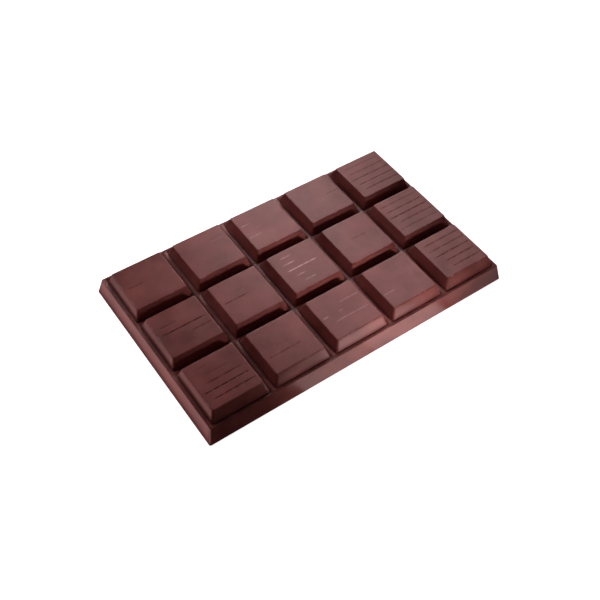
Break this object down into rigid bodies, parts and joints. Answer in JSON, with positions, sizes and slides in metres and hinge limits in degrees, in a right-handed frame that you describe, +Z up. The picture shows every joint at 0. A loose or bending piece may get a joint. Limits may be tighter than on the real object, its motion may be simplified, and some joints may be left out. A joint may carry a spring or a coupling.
{
  "type": "chocolate bar",
  "caption": "Moulded chocolate bar: a thin slab with sloping sides that carries a grid of raised, bevelled blocks to break off.",
  "frame": {"origin": "middle of the flat underside", "axes": "+X along the bar's long side, +Y across it, +Z up out of the blocks"},
  "size_m": [0.1134, 0.0688, 0.0101],
  "materials": {
    "chocolate": "milk chocolate with a satin sheen from the mould"
  },
  "bodies": {
    "root": {"chocolate_bar": "chocolate"}
  },
  "joints": []
}
